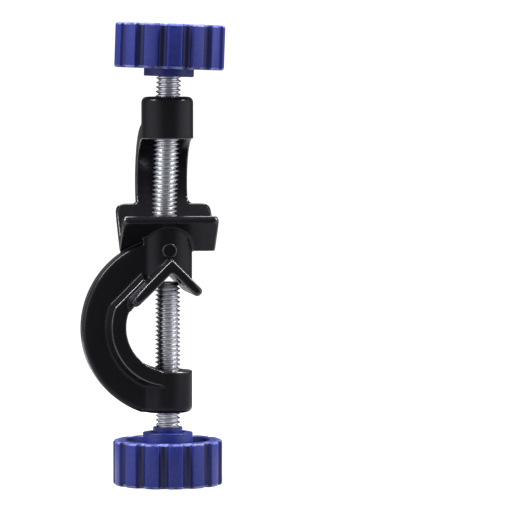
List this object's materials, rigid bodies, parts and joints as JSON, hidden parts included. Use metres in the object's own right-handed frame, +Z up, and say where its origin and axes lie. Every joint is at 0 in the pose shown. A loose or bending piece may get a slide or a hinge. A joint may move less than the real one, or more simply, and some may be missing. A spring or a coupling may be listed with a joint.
{
  "type": "boss head clamp",
  "caption": "Laboratory boss head clamp: a black cast body with two V jaws at right angles, each closed by a zinc-plated thumbscrew with a blue lobed knob.",
  "frame": {"origin": "centre of the flat end of the lower knob, on the axis of the lower screw", "axes": "+Z up the lower screw towards the upper knob; the lower jaw opens to +X and holds its rod along Y; the upper jaw opens to -Y and holds its rod along X"},
  "size_m": [0.0456, 0.0447, 0.146],
  "materials": {
    "black_paint": "gloss",
    "zinc_steel": "satin",
    "blue_plastic": "satin"
  },
  "bodies": {
    "casting": {"clamp_body": "black_paint"},
    "upper_screw_run": {"upper_screw": "zinc_steel"},
    "upper_knob_turn": {"upper_knob": "blue_plastic"},
    "lower_screw_run": {"lower_screw": "zinc_steel"},
    "lower_knob_turn": {"lower_knob": "blue_plastic"}
  },
  "joints": [
    {"name": "upper_travel", "type": "slide", "parent": "casting", "child": "upper_screw_run", "axis": [-0.034, 0, -0.9994], "range_m": [-0.02681, 0]},
    {"name": "upper_turn", "type": "hinge", "parent": "upper_screw_run", "child": "upper_knob_turn", "pos_m": [0.00044, 0, 0.1287], "axis": [-0.034, 0, -0.9994], "range_deg": [-6850, 0]},
    {"name": "lower_travel", "type": "slide", "parent": "casting", "child": "lower_screw_run", "axis": [0, 0, 1], "range_m": [-0.02681, 0]},
    {"name": "lower_turn", "type": "hinge", "parent": "lower_screw_run", "child": "lower_knob_turn", "pos_m": [0, 0, 0.0166], "axis": [0, 0, 1], "range_deg": [-6850, 0]}
  ],
  "couplings": [
    {"joint": "upper_turn", "follows": "upper_travel", "rad_per_m": 4453},
    {"joint": "lower_turn", "follows": "lower_travel", "rad_per_m": 4453}
  ]
}
